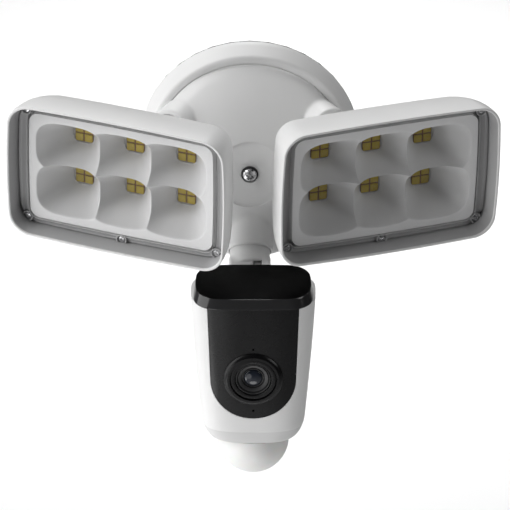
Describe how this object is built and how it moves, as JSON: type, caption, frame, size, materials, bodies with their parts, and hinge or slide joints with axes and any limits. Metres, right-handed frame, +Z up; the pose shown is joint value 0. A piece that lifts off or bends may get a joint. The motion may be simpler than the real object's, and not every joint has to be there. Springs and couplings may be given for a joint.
{
  "type": "floodlight security camera",
  "caption": "Wall floodlight with two tilting LED lamp heads on a round domed base and a hanging camera unit with a motion-sensor dome.",
  "frame": {"origin": "centre of the mounting bracket's back face, on the wall", "axes": "+Z up, +Y into the wall, so the lamps and camera face -Y; +X to the right seen from the front"},
  "size_m": [0.2756, 0.1243, 0.2244],
  "materials": {
    "white_plastic": "satin moulded",
    "black_gloss": "gloss",
    "black_plastic": "fine matt",
    "clear_window": "clear polycarbonate",
    "reflector": "white satin",
    "led_board": "yellow phosphor on a white board",
    "circuit_board": "solder mask",
    "winding": "taped winding",
    "rubber": "matt",
    "dome_white": "satin, slightly translucent",
    "lens_glass": "coated glass",
    "steel": "bright"
  },
  "bodies": {
    "base": {"base_housing": "white_plastic", "wall_gasket": "rubber", "mounting_bracket": "steel", "rear_cover": "black_plastic", "cable_gland": "rubber", "driver_board": "circuit_board", "driver_transformer": "winding", "driver_capacitor": "black_plastic", "center_screw": "steel", "center_screw_seal": "rubber", "cover_screw_1": "steel", "cover_screw_2": "steel", "cover_screw_3": "steel", "cover_screw_4": "steel"},
    "left_arm": {"left_lamp_arm": "white_plastic", "left_hinge_bolt": "steel", "left_hinge_nut": "steel"},
    "left_lamp": {"left_lamp_shell": "white_plastic", "left_lens_frame": "white_plastic", "left_window": "clear_window", "left_reflector": "reflector", "left_led_board": "led_board", "left_frame_screw_1": "steel", "left_frame_screw_2": "steel", "left_frame_screw_3": "steel", "left_frame_screw_4": "steel", "left_frame_screw_5": "steel", "left_frame_screw_6": "steel"},
    "right_arm": {"right_lamp_arm": "white_plastic", "right_hinge_bolt": "steel", "right_hinge_nut": "steel"},
    "right_lamp": {"right_lamp_shell": "white_plastic", "right_lens_frame": "white_plastic", "right_window": "clear_window", "right_reflector": "reflector", "right_led_board": "led_board", "right_frame_screw_1": "steel", "right_frame_screw_2": "steel", "right_frame_screw_3": "steel", "right_frame_screw_4": "steel", "right_frame_screw_5": "steel", "right_frame_screw_6": "steel"},
    "camera_arm": {"camera_arm": "white_plastic", "camera_hinge_bolt": "steel", "camera_hinge_nut": "steel"},
    "camera": {"camera_shell": "white_plastic", "front_panel": "black_gloss", "visor": "black_gloss", "lens_ring": "black_plastic", "lens_barrel": "black_plastic", "lens_glass": "lens_glass", "sensor_dome": "dome_white", "motion_sensor": "steel", "camera_board": "circuit_board", "image_sensor": "black_plastic", "speaker": "black_plastic"}
  },
  "joints": [
    {"name": "left_lamp_swivel", "type": "hinge", "parent": "base", "child": "left_arm", "pos_m": [-0.0451, -0.0308, 0.0215], "axis": [-0.5299, -0.848, 0], "range_deg": [-20, 60]},
    {"name": "left_lamp_tilt", "type": "hinge", "parent": "left_arm", "child": "left_lamp", "pos_m": [-0.05856, -0.05234, 0.0215], "axis": [0.9347, -0.355, -0.0171], "range_deg": [-45, 25]},
    {"name": "right_lamp_swivel", "type": "hinge", "parent": "base", "child": "right_arm", "pos_m": [0.0451, -0.0308, 0.0215], "axis": [0.5299, -0.848, 0], "range_deg": [-60, 20]},
    {"name": "right_lamp_tilt", "type": "hinge", "parent": "right_arm", "child": "right_lamp", "pos_m": [0.05856, -0.05234, 0.0215], "axis": [0.9345, 0.3549, -0.0257], "range_deg": [-45, 25]},
    {"name": "camera_swivel", "type": "hinge", "parent": "base", "child": "camera_arm", "pos_m": [0, -0.054, -0.045], "axis": [0, -0.766, -0.6428], "range_deg": [-40, 40]},
    {"name": "camera_tilt", "type": "hinge", "parent": "camera_arm", "child": "camera", "pos_m": [0, -0.06549, -0.05464], "axis": [1, 0, 0], "range_deg": [-20, 40]}
  ]
}
